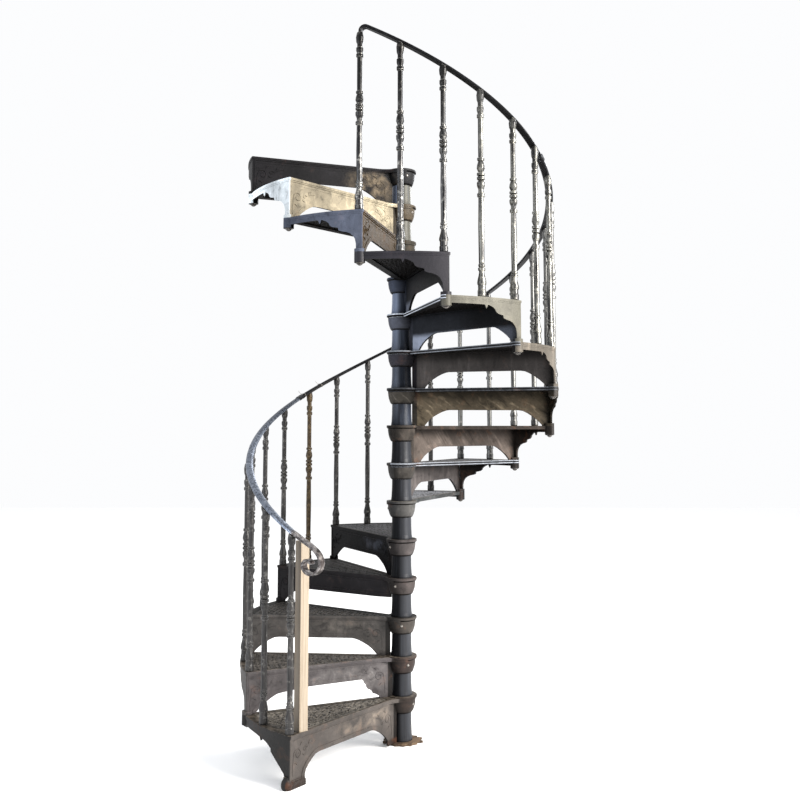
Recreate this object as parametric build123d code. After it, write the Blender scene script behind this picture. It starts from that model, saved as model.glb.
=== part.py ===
from build123d import *
import math
import os

os.makedirs("parts", exist_ok=True)

# ---------------------------------------------------------------- driving dimensions, mm and degrees
STEPS = 15            # steps in the flight
RISE = 203.2          # one riser
FIRST_TOP = 240.0     # top of the lowest tread above the floor
TURN = 27.93          # turn of one step
START = 231.6         # angle of the lowest step's front edge, from +X
R_SKIRT = 850.0       # outer face of the curved skirts
R_PLATE = 853.0       # rim of the tread plates
PLATE_T = 12.0        # tread plate
WALL = 10.0           # riser and skirt thickness
RISER_V = 14.0        # front face of the riser, ahead of the step's own radius
NOSE_V = 21.0         # front edge of the tread plate
BACK_V = 9.0          # tread plate behind the next step's radius
R_POLE = 38.0         # hidden centre pole
BORE = 38.4           # bore of collars and sleeves
COLLAR_R = 82.0       # lip of the hub collar
COLLAR_H = 88.0       # height of the hub collar
COLLAR_UP = 3.0       # lip above the tread
SLEEVE_TOP_R = 52.0   # sleeve, upper end
SLEEVE_LOW_R = 57.5   # sleeve, lower end
BOSS_R = 26.0         # round boss at the foot of each outer leg
BOSS_C = 838.0        # radius on which the bosses stand
BOSS_DOWN = 50.0      # boss below the tread it clamps
BOSS_UP = 15.0        # boss above it
BOLT_R = 8.0          # bolt hole through the top step's free boss
RIM_V = 1.0           # tread window: inner edge of the front rim
RIM_R = 806.0         # and of the outer band that carries the balusters
RIM_BACK = 22.0       # and of the back rim, ahead of the next step's radius
RIM_HUB = 122.0       # and of the web round the hub
PANEL_DROP = 1.5      # pierced tread panel, below the rim
PANEL_GAP = 0.4       # round the panel
LEDGE = 9.0           # ledge that carries the panel
LEDGE_T = 7.0
PANEL_H = 116.5       # closed upper part of the riser
BAND = 19.0           # raised band round the arch
CUT_STEP = 4          # this step has lost the bracket beside the column
CUSPED_STEP = 2       # this one's bracket is scalloped and its arch a little higher
BAL_R = 829.0         # balusters
BAL_V = -7.0
BAL_L = 915.0         # baluster standing at a step's corner
MID = 0.53            # second baluster, part of the turn
RAIL_R = 820.0        # handrail
RAIL_C = 918.0        # handrail centre above the tread at the corner
RAIL_W = 40.0
RAIL_T = 18.0
POST = 47.0           # squared timber post
POST_L = 876.0
BASE_T = 12.0         # thickness of the floor plate


def top(n):
    return FIRST_TOP + (n - 1) * RISE


def ang(n):
    return START - (n - 1) * TURN


def pol(r, a):
    a = math.radians(a)
    return (r * math.cos(a), r * math.sin(a))


def rot(p, a):
    a = math.radians(a)
    return (p[0] * math.cos(a) - p[1] * math.sin(a), p[0] * math.sin(a) + p[1] * math.cos(a))


def solid(shape):
    found = shape.solids()
    if len(found) == 1:
        return found[0]
    return Compound(found)


def save(shape, name):
    shape.label = name
    export_step(shape, f"parts/{name}.step")


def prism(points, z0, height):
    wire = Polyline([(x, y, z0) for x, y in points], close=True)
    return extrude(make_face(wire), amount=height, dir=(0, 0, 1))


# ---------------------------------------------------------------- tread plate, seen from above
def plate_outline(front, rim):
    """Wedge of one tread. Local +X lies along the step's own radius, +Y towards the step below."""
    pts = []
    # front edge: from the collar lip in an S-curve into the straight nosing
    r = COLLAR_R - 1.0
    bend = 130.0
    # circle tangent to the lip and to the nosing line
    cy = front + bend
    cx = math.sqrt((r + bend) ** 2 - cy ** 2)
    touch = math.degrees(math.atan2(cy, cx))
    for i in range(7):
        a = 90 + (touch - 90) * i / 6
        pts.append(pol(r, a))
    start = math.degrees(math.atan2(-cy, -cx)) % 360
    for i in range(1, 9):
        a = math.radians(start + (270 - start) * i / 8)
        pts.append((cx + bend * math.cos(a), cy + bend * math.sin(a)))
    # outer front corner, slightly rounded
    x_out = math.sqrt(rim ** 2 - front ** 2)
    pts.append((x_out - 8, front))
    pts.append((x_out - 2.2, front - 2.4))
    a0 = math.degrees(math.asin((front - 8) / rim))
    a1 = -TURN - math.degrees(math.asin(BACK_V / rim))
    for i in range(25):
        a = a0 + (a1 - a0) * i / 24
        pts.append(pol(rim, a))
    # back edge, parallel to the next step's radius
    pts.append(rot((r, -BACK_V), -TURN))
    return pts


def window_outline(inset):
    """Opening of the tread's frame, drawn in by inset."""
    pts = []
    front, rim, hub, back = RIM_V - inset, RIM_R - inset, RIM_HUB + inset, RIM_BACK + inset
    a0 = math.degrees(math.asin(front / rim))
    a1 = -TURN + math.degrees(math.asin(back / rim))
    b0 = math.degrees(math.asin(front / hub))
    b1 = -TURN + math.degrees(math.asin(back / hub))
    for i in range(21):
        pts.append(pol(rim, a0 + (a1 - a0) * i / 20))
    for i in range(7):
        pts.append(pol(hub, b1 + (b0 - b1) * i / 6))
    return pts


def annulus(r0, r1, z0, z1):
    return Pos(0, 0, z0) * extrude(Circle(r1) - Circle(r0), amount=z1 - z0)


# ---------------------------------------------------------------- riser, seen from the front: (radius, height below the tread)
# haunches of the arch under the riser
HAUNCH_IN = [(130, 203.2), (134, 197), (143, 186), (160, 168), (180, 153), (204, 139), (228, 127), (250, 119.5), (268, PANEL_H)]
HAUNCH_IN_CUSPED = [(130, 203.2), (132, 195), (144, 187), (158, 179), (170, 175), (176, 164), (186, 156), (198, 151), (205, 141),
                    (208, 130), (217, 121), (222, 109), (231, 99)]
HAUNCH_OUT = [(662, PANEL_H), (688, 120), (714, 132), (740, 148), (764, 165), (784, 183), (797, 197), (800, 203.2)]
HAUNCH_OUT_FIRST = [(650, PANEL_H), (676, 121), (704, 138), (726, 156), (741, 174), (747, 192), (747, 210), (744, 240)]


def arch(kind, low):
    """Opening under the riser, from the foot beside the column to the foot under the corner."""
    if kind == "first":
        return [(134, -low)] + [(u + 4, -d) for u, d in HAUNCH_IN] + [(u, -d) for u, d in HAUNCH_OUT_FIRST]
    if kind == "cut":       # the bracket beside the column is gone
        return [(60, -PANEL_H + 8), (150, -PANEL_H + 4)] + [(u, -d) for u, d in HAUNCH_OUT]
    if kind == "cusped":
        return [(u, -d) for u, d in HAUNCH_IN_CUSPED] + [(540, -103)] + [(u, -d) for u, d in HAUNCH_OUT]
    return [(u, -d) for u, d in HAUNCH_IN] + [(u, -d) for u, d in HAUNCH_OUT]


def riser_outline(kind, low):
    opening = arch(kind, low)
    foot = FIRST_TOP if kind == "first" else low
    pts = [(60.0, 0.0)]
    if kind != "cut":
        pts.append((60.0, -low))
    return pts + opening + [(846.0, -foot), (846.0, 0.0)]


# ---------------------------------------------------------------- skirt, unrolled: (length along the rim from the corner, height below the tread)
SKIRT = [(0, 203.2), (30, 203.2), (30, 164), (35, 141), (44, 126), (59, 113), (79, 105), (104, 100), (118, 95), (121, 82),
         (136, 79), (152, 76), (164, 68), (170, 56), (184, 46), (204, 38), (213, 37), (221, 54), (229, 37), (240, 36), (420, 36)]
SKIRT_FIRST = [(0, 240.0), (30, 240.0), (30, 188), (36, 173), (62, 150), (88, 129), (112, 111), (131, 96), (134, 82), (150, 72),
               (176, 61), (204, 55), (213, 54), (221, 68), (229, 53), (274, 48), (420, 44)]


def skirt(profile):
    mid = -TURN / 2
    lead = math.degrees(math.asin(RISER_V / R_SKIRT))
    end = -TURN
    pts = []
    for s, d in profile:
        a = max(lead - math.degrees(s / R_SKIRT), end)
        pts.append((R_SKIRT * math.sin(math.radians(a - mid)), -d))
    pts.append((pts[-1][0], 0.0))
    pts.append((pts[0][0], 0.0))
    # a plane whose normal points outwards at the middle of the step: local x runs towards the step below
    plane = Plane(origin=(0, 0, 0), x_dir=(math.cos(math.radians(mid + 90)), math.sin(math.radians(mid + 90)), 0),
                  z_dir=(-math.cos(math.radians(mid)), -math.sin(math.radians(mid)), 0))
    # make sure +Z of the world is the plane's local y
    if plane.y_dir.Z < 0:
        plane = Plane(origin=(0, 0, 0), x_dir=plane.x_dir, z_dir=-plane.z_dir)
    face = make_face(Polyline([plane.from_local_coords((x, y, 0)) for x, y in pts], close=True))
    out = (math.cos(math.radians(mid)), math.sin(math.radians(mid)), 0)
    block = extrude(face, amount=1000, dir=out)
    return block & annulus(R_SKIRT - WALL, R_SKIRT, -260, 1)


def collar():
    top_z, r = COLLAR_UP, COLLAR_R
    low = COLLAR_UP - COLLAR_H
    pts = [(BORE, top_z), (r - 2, top_z), (r, top_z - 2), (r, top_z - 12), (r - 3, top_z - 15), (r - 7, top_z - 19),
           (r - 8, top_z - 34), (r - 11, top_z - 54), (r - 16, top_z - 70), (r - 20, top_z - 80), (r - 24, low + 2.5),
           (r - 27, low), (BORE, low)]
    wire = Polyline([(x, 0, z) for x, z in pts], close=True)
    return revolve(make_face(wire), axis=Axis.Z)


def shifted(chain, d):
    """Open chain moved sideways by d, to its left, with mitred corners."""
    out = []
    normals = []
    for (x0, y0), (x1, y1) in zip(chain, chain[1:]):
        length = math.hypot(x1 - x0, y1 - y0)
        normals.append((-(y1 - y0) / length, (x1 - x0) / length))
    for i, (x, y) in enumerate(chain):
        n0 = normals[max(i - 1, 0)]
        n1 = normals[min(i, len(normals) - 1)]
        k = d / (1 + n0[0] * n1[0] + n0[1] * n1[1])
        out.append((x + k * (n0[0] + n1[0]), y + k * (n0[1] + n1[1])))
    return out


def riser(kind, low):
    def face(pts):
        return make_face(Polyline([(x, RISER_V, z) for x, z in pts], close=True))

    outline = riser_outline(kind, low)
    body = extrude(face(outline), amount=WALL, dir=(0, -1, 0))
    # raised band round the arch and a thin frame inside the top and outer edges
    chain = arch(kind, low)
    body += extrude(face(shifted(chain, BAND) + chain[::-1]) & face(outline), amount=2.4, dir=(0, 1, 0))
    foot = low - 40 if kind == "first" else low
    body += extrude(face([(96, -27), (838, -27), (838, -foot + 4), (833, -foot + 4), (833, -32), (96, -32)]) & face(outline),
                    amount=1.4, dir=(0, 1, 0))
    return body


def boss(a, up, down, r=BOSS_R):
    x, y = pol(BOSS_C, a)
    return Pos(x, y, -down) * extrude(Circle(r), amount=up + down)


def ball_foot():
    """Rounded foot under the lowest corner, standing on the floor."""
    pts = [(0, 0), (21, 0), (25, 7), (27, 17), (26, 27), (22, 38), (17, 46), (15, 56), (0, 56)]
    return revolve(make_face(Polyline([(x, 0, z) for x, z in pts], close=True)), axis=Axis.Z)


def step_casting(kind):
    """One step as a single casting, its tread top at z = 0, its own radius along +X."""
    first = kind == "first"
    body = prism(plate_outline(NOSE_V, R_PLATE), -PLATE_T, PLATE_T)
    # second, lower moulding under the rim; behind it a ledge that carries the tread panel
    body += prism(plate_outline(NOSE_V - 3.5, R_PLATE - 1.5), -PLATE_T - LEDGE_T, LEDGE_T)
    body -= prism(window_outline(0), -PLATE_T, PLATE_T + 1)
    body -= prism(window_outline(LEDGE), -PLATE_T - LEDGE_T - 1, PLATE_T + LEDGE_T + 2)
    hub = collar()
    body += hub
    body += riser(kind, FIRST_TOP - BASE_T if first else RISE)
    body += skirt(SKIRT_FIRST if first else SKIRT)
    # boss under the back corner, where the next step's foot is bolted
    body += boss(-TURN, 0, BOSS_DOWN)
    # upper boss at this step's own foot
    if first:
        body += Pos(BOSS_C + 8, -4, -FIRST_TOP) * ball_foot()
        pad = [(743, -2), (848, -2), (848, RISER_V + 5), (743, RISER_V + 5)]
        body += prism(pad, -FIRST_TOP, 28)
        body += prism([(748, 0), (848, 0), (848, RISER_V + 2.5), (748, RISER_V + 2.5)], -FIRST_TOP + 28, 8)
    else:
        x, y = pol(BOSS_C, 0)
        body += Pos(x, y, -RISE) * extrude(Circle(BOSS_R), amount=BOSS_UP)
    # clear the bore
    body -= Pos(0, 0, -400) * extrude(Circle(BORE), amount=800)
    # nothing but the collar stands inside the collar's own radius below it
    well = annulus(0.1, 60.0, -400, COLLAR_UP - COLLAR_H)
    body -= well
    # the inner leg stands beside the lip of the collar below
    if not first:
        body -= annulus(0.1, COLLAR_R + 0.4, -RISE - 5, -RISE + COLLAR_UP + 0.2)
    return body


common = step_casting("common")
lowest = step_casting("first")
cut = step_casting("cut")
cusped = step_casting("cusped")
print("step solids", len(common.solids()), len(lowest.solids()), len(cut.solids()), len(cusped.solids()),
      "volume", round(common.volume), round(lowest.volume), round(cut.volume), round(cusped.volume))

# the top step has nothing bolted to its back corner, so its bolt hole is open
hx, hy = pol(BOSS_C, -TURN)
highest = common - Pos(hx, hy, -BOSS_DOWN - 5) * extrude(Circle(BOLT_R), amount=BOSS_DOWN + 10)

for n in range(1, STEPS + 1):
    casting = lowest if n == 1 else highest if n == STEPS else cut if n == CUT_STEP else cusped if n == CUSPED_STEP else common
    placed = Pos(0, 0, top(n)) * Rot(0, 0, ang(n)) * casting
    save(solid(placed), f"step_{n:02d}")

# pierced tread panels, each lying on the ledge of its casting
panel = prism(window_outline(PANEL_GAP), -PLATE_T, PLATE_T - PANEL_DROP)
for n in range(1, STEPS + 1):
    save(solid(Pos(0, 0, top(n)) * Rot(0, 0, ang(n)) * panel), f"tread_{n:02d}")

# ---------------------------------------------------------------- column
low_z = BASE_T
sleeves = []
for n in range(1, STEPS + 1):
    lower = BASE_T if n == 1 else top(n - 1) + COLLAR_UP
    upper = top(n) + COLLAR_UP - COLLAR_H
    h = upper - lower
    pts = [(BORE, 0), (SLEEVE_LOW_R, 0), (SLEEVE_LOW_R, 6), (SLEEVE_LOW_R - 2.5, 22), (SLEEVE_TOP_R + 0.8, h * 0.55),
           (SLEEVE_TOP_R, h), (BORE, h)]
    wire = Polyline([(x, 0, z) for x, z in pts], close=True)
    body = revolve(make_face(wire), axis=Axis.Z)
    sleeves.append((Pos(0, 0, lower) * body).solids()[0])
save(Compound(sleeves[:8]), "column_sleeves_lower")
save(Compound(sleeves[8:]), "column_sleeves_upper")

pole_top = top(STEPS) + COLLAR_UP
pole = Pos(0, 0, BASE_T) * extrude(Circle(R_POLE), amount=pole_top - BASE_T)
cap = Pos(0, 0, pole_top) * extrude(Circle(52), amount=8)
cap += Pos(0, 0, pole_top + 8) * extrude(Circle(24), amount=10, taper=20)
save(solid(pole), "centre_pole")
save(solid(cap), "pole_cap")

# jagged, rusted floor plate under the column
jag = [(0, 96), (7, 90), (14, 112), (22, 90), (33, 98), (44, 84), (58, 92), (72, 84), (88, 94), (102, 84), (118, 92),
       (132, 83), (148, 94), (162, 85), (178, 96), (188, 86), (201, 106), (209, 88), (222, 92), (234, 84), (248, 94), (262, 86),
       (276, 92), (288, 83), (300, 96), (312, 88), (326, 98), (336, 90), (347, 116), (354, 92)]
save(solid(prism([pol(r, a) for a, r in jag], 0, BASE_T)), "floor_plate")

# ---------------------------------------------------------------- balusters: (part of the height from the floor end, radius)
TURNED = [(0.0, 19), (0.006, 21), (0.03, 21), (0.036, 18.5), (0.057, 18.5), (0.061, 21.6), (0.071, 22), (0.078, 21), (0.09, 18.5),
          (0.104, 15), (0.117, 13), (0.123, 13), (0.127, 17.5), (0.137, 17.5), (0.142, 13.2), (0.146, 16), (0.154, 16),
          (0.159, 13.2), (0.17, 13.6), (0.33, 15), (0.47, 13.2), (0.474, 13.2), (0.478, 19), (0.492, 19), (0.497, 13.5), (0.512, 13),
          (0.53, 19.5), (0.545, 20), (0.556, 13), (0.561, 19.5), (0.571, 19.5), (0.576, 13.5), (0.581, 19.5), (0.591, 19.5),
          (0.596, 13), (0.615, 20), (0.632, 18), (0.65, 12.5), (0.654, 17.5), (0.664, 17.5), (0.668, 12.5), (0.72, 12.8),
          (0.858, 12.6), (0.862, 17.5), (0.876, 17.5), (0.88, 12.8), (0.896, 17.5), (0.912, 17.5), (0.917, 12.8), (0.935, 12.8),
          (0.948, 17.5), (0.972, 19), (0.99, 16), (1.0, 13.5)]


def baluster(length):
    pts = [(0, 0)] + [(r, f * length) for f, r in TURNED] + [(0, length)]
    wire = Polyline([(x, 0, z) for x, z in pts], close=True)
    return revolve(make_face(wire), axis=Axis.Z)


def bal_place(n, part):
    if part == 0:
        x, y = rot((BAL_R, BAL_V), ang(n))
    else:
        x, y = pol(BAL_R, ang(n) - MID * TURN)
    return x, y


def bal_angle(n, part):
    x, y = bal_place(n, part)
    return math.degrees(math.atan2(y, x))


def rail_height(turned):
    """Handrail centre above the floor, turned degrees round from the lowest step's radius."""
    return FIRST_TOP + RAIL_C + RISE * turned / TURN


PITCH = RISE * 360 / TURN
SLOPE = math.degrees(math.atan2(RISE / math.radians(TURN), RAIL_R))   # of the rail's centre line


def bal_turned(n, part):
    a = (ang(n) - bal_angle(n, part)) % 360
    if a > 180:
        a -= 360
    return (n - 1) * TURN + a


def under_rail(turned):
    """Height of the rail's sloping underside above a point on its centre line."""
    return rail_height(turned) - RAIL_T / 2 / math.cos(math.radians(SLOPE)) - 0.15


def under_plane(n, part):
    """Everything above the rail's underside, near one baluster."""
    t = bal_turned(n, part)
    a = START - t
    x, y = pol(RAIL_R, a)
    block = Pos(0, 0, 40) * Box(120, 120, 80)
    # local +X of the block runs uphill along the rail
    return Pos(x, y, under_rail(t)) * Rot(0, 0, a - 90) * Rot(0, -SLOPE, 0) * block


made = {}
for n in range(1, 13):
    for part in (0, 1):
        x, y = bal_place(n, part)
        full = under_rail(bal_turned(n, part)) - top(n)
        body = Pos(x, y, top(n)) * baluster(full + 6.0)
        made[n, part] = (body - under_plane(n, part)).solids()[0]

# ---------------------------------------------------------------- handrail
def rail_section(plane):
    w, t = RAIL_W / 2, RAIL_T / 2
    pts = [(-w, -t + 4), (-w + 5, -t), (w - 5, -t), (w, -t + 4), (w - 3, t * 0.35), (w - 10, t * 0.85), (0, t),
           (-w + 10, t * 0.85), (-w + 3, t * 0.35)]
    return plane * make_face(Polyline([(x, y, 0) for x, y in pts], close=True))


def rail_piece(t0, t1):
    """t0, t1: degrees turned from the lowest step's radius, rising."""
    height = PITCH * (t1 - t0) / 360
    path = Helix(pitch=PITCH, height=height, radius=RAIL_R, lefthand=True)
    start = path @ 0
    tangent = path % 0
    out = Vector(start.X, start.Y, 0).normalized()
    plane = Plane(origin=start, x_dir=out, z_dir=tangent)
    body = sweep(rail_section(plane), path, is_frenet=True)
    return Pos(0, 0, rail_height(t0)) * Rot(0, 0, START - t0) * body


# the last baluster carries the rail's end, which bends down on to it
BEND_R = 24.0
slope = math.radians(SLOPE)
reach = BEND_R * (1 + math.sin(slope))
last = bal_turned(13, 0)
rail_end = last - math.degrees(reach / RAIL_R)
drop = BEND_R * math.cos(slope)

marks = [0.0, 3 * TURN + 9, 6 * TURN + 9, 9 * TURN + 9, rail_end]
names = ["handrail_foot", "handrail_left", "handrail_back", "handrail_head"]


def frame_at(turned):
    """Plane standing on the rail's centre line: local x uphill and level, local y up."""
    a = START - turned
    x, y = pol(RAIL_R, a)
    r = math.radians(a)
    uphill = (math.sin(r), -math.cos(r), 0)
    outward = (math.cos(r), math.sin(r), 0)
    return Plane(origin=(x, y, rail_height(turned)), x_dir=uphill, z_dir=tuple(-c for c in outward))


def flat_sweep(plane, edges, width, thick, start_dir, start, rounded=True):
    """Bar of the given width (square to the plane) and thickness along a path drawn in the plane."""
    path = Wire([plane.from_local_coords(e) for e in edges])
    o = plane.from_local_coords((start[0], start[1], 0))
    d = plane.from_local_coords((start[0] + start_dir[0], start[1] + start_dir[1], 0)) - o
    section_plane = Plane(origin=o, x_dir=plane.z_dir, z_dir=d)
    w, t = width / 2, thick / 2
    pts = [(-w, -t + 2), (-w + 2, -t), (w - 2, -t), (w, -t + 2), (w, t - 3), (w - 3, t), (-w + 3, t), (-w, t - 3)]
    face = section_plane * make_face(Polyline([(x, y, 0) for x, y in pts], close=True))
    return sweep(face, path)


# scroll: seen from outside, the bar leaves the rail downhill and curls under
SCROLL = [(0, 0), (-70, -34), (-120, -56), (-158, -82), (-178, -115), (-173, -149), (-147, -173), (-110, -181), (-79, -169),
          (-66, -144), (-79, -122), (-103, -119), (-115, -133)]
foot_plane = frame_at(0.0)
path = Spline([foot_plane.from_local_coords((x, y, 0)) for x, y in SCROLL],
              tangents=[foot_plane.from_local_coords((-math.cos(slope), -math.sin(slope), 0)) - foot_plane.origin,
                        foot_plane.from_local_coords((0.2, -1, 0)) - foot_plane.origin])
w, t = 18.5, 6.0
o = foot_plane.origin
d = foot_plane.from_local_coords((-math.cos(slope), -math.sin(slope), 0)) - o
section_plane = Plane(origin=o, x_dir=foot_plane.z_dir, z_dir=d)
pts = [(-w, -t + 2), (-w + 2, -t), (w - 2, -t), (w, -t + 2), (w, t - 3), (w - 3, t), (-w + 3, t), (-w, t - 3)]
scroll = sweep(section_plane * make_face(Polyline([(x, y, 0) for x, y in pts], close=True)), path)

# return: the rail's head rounds over and stands on the last baluster
head_plane = frame_at(rail_end)
c = (BEND_R * math.sin(slope), -BEND_R * math.cos(slope))
mid_a = (math.radians(90) + slope) / 2


def on_bend(a):
    return head_plane.from_local_coords((c[0] + BEND_R * math.cos(a), c[1] + BEND_R * math.sin(a), 0))


arc = ThreePointArc(on_bend(math.radians(90) + slope), on_bend(mid_a), on_bend(0))
leg = Line(on_bend(0), on_bend(0) + Vector(0, 0, -10))
o = head_plane.origin
d = head_plane.from_local_coords((math.cos(slope), math.sin(slope), 0)) - o
outward = -head_plane.z_dir
bend = sweep(rail_section(Plane(origin=o, x_dir=outward, z_dir=d)), Wire([arc, leg]))

for i, name in enumerate(names):
    body = rail_piece(marks[i], marks[i + 1])
    if name == "handrail_foot":
        body += scroll
    if name == "handrail_head":
        body += bend
    save(solid(body), name)
    print(name, len(body.solids()), round(body.volume))

x, y = bal_place(13, 0)
made[13, 0] = (Pos(x, y, top(13)) * baluster(rail_height(rail_end) - drop - 10 - top(13))).solids()[0]
for first, last_step in ((1, 3), (4, 6), (7, 9), (10, 11), (12, 13)):
    group = [made[key] for key in sorted(made) if first <= key[0] <= last_step]
    save(Compound(group), f"balusters_{first:02d}_{last_step:02d}")

# ---------------------------------------------------------------- squared timber post on the lowest tread
x, y = rot((756, -6), ang(1))
post = Pos(x, y, FIRST_TOP) * Rot(0, 0, ang(1) - 11) * extrude(Rectangle(POST, POST), amount=POST_L)
save(solid(post), "timber_post")
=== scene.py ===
import math

import bmesh
import bpy
from mathutils import Matrix, Vector


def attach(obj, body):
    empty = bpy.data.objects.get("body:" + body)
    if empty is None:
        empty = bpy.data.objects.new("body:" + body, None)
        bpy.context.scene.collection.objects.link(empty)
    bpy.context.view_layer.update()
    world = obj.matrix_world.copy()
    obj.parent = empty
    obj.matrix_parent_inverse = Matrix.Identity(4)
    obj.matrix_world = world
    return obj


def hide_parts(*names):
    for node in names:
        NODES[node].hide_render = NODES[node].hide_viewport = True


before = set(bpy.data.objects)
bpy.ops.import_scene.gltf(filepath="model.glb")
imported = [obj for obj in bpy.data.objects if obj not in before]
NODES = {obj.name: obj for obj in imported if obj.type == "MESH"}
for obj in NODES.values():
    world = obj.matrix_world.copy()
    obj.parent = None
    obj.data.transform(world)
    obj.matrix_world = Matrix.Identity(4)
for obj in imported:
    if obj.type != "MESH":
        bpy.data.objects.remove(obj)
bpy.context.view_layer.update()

# ---------------------------------------------------------------- the stair's own dimensions, m and degrees, as in the model
STEPS, RISE, FIRST_TOP, TURN, START = 15, 0.2032, 0.240, 27.93, 231.6
RIM_V, RIM_R, RIM_BACK, RIM_HUB, GAP = 0.001, 0.806, 0.022, 0.122, 0.0004
PANEL_TOP, PANEL_LOW = -0.0015, -0.012
RAIL_R, RAIL_C = 0.820, 0.918


def top(n):
    return FIRST_TOP + (n - 1) * RISE


def ang(n):
    return START - (n - 1) * TURN


def local(n):
    """From one step's own frame (tread top at 0, its radius along +X) to the stair's."""
    return Matrix.Translation((0, 0, top(n))) @ Matrix.Rotation(math.radians(ang(n)), 4, "Z")


# ---------------------------------------------------------------- camera, as fitted to the photograph
cam_data = bpy.data.cameras.new("camera")
cam = bpy.data.objects.new("camera", cam_data)
bpy.context.scene.collection.objects.link(cam)
cam.location = (0.0, -5.1188, 1.6677)
cam.rotation_euler = (math.radians(90 + 5.833), 0, math.radians(0.097))
cam_data.sensor_width = 36
cam_data.lens = 928.7 / 800 * 36
cam_data.shift_y = -(400 - 330) / 800
cam_data.clip_end = 60
bpy.context.scene.camera = cam

# ---------------------------------------------------------------- floor, background, light
scene = bpy.context.scene
mesh = bpy.data.meshes.new("floor")
s = 14
mesh.from_pydata([(-s, -s, 0), (s, -s, 0), (s, s, 0), (-s, s, 0)], [], [(0, 1, 2, 3)])
floor = bpy.data.objects.new("floor", mesh)
scene.collection.objects.link(floor)
m = bpy.data.materials.new("floor")
m.use_nodes = True
m.node_tree.nodes["Principled BSDF"].inputs["Base Color"].default_value = (0.985, 0.985, 0.985, 1)
m.node_tree.nodes["Principled BSDF"].inputs["Roughness"].default_value = 0.9
mesh.materials.append(m)

world = bpy.data.worlds.new("world")
scene.world = world
world.use_nodes = True
world.node_tree.nodes["Background"].inputs["Color"].default_value = (0.975, 0.98, 0.99, 1)
world.node_tree.nodes["Background"].inputs["Strength"].default_value = 1.0


def area(name, loc, target, size, power, colour):
    data = bpy.data.lights.new(name, "AREA")
    data.shape = "RECTANGLE"
    data.size, data.size_y = size
    data.energy = power
    data.color = colour
    ob = bpy.data.objects.new(name, data)
    scene.collection.objects.link(ob)
    ob.location = loc
    ob.rotation_euler = (Vector(target) - Vector(loc)).to_track_quat("-Z", "Y").to_euler()


area("key", (4.4, -2.8, 3.6), (0, 0, 1.7), (2.2, 3.6), 900, (1.0, 0.965, 0.91))
area("fill", (-4.6, -2.6, 3.0), (0, 0, 1.8), (2.4, 3.0), 110, (0.86, 0.92, 1.0))
area("rim", (2.4, 4.2, 4.6), (0, 0, 2.0), (3.0, 2.0), 150, (0.95, 0.97, 1.0))
scene.view_settings.view_transform = "Standard"


# ---------------------------------------------------------------- materials
def lin(r, g, b):
    """Linear colour from 0..255 display values."""
    return tuple((c / 255 / 12.92) if c / 255 <= 0.04045 else ((c / 255 + 0.055) / 1.055) ** 2.4 for c in (r, g, b))


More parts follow.
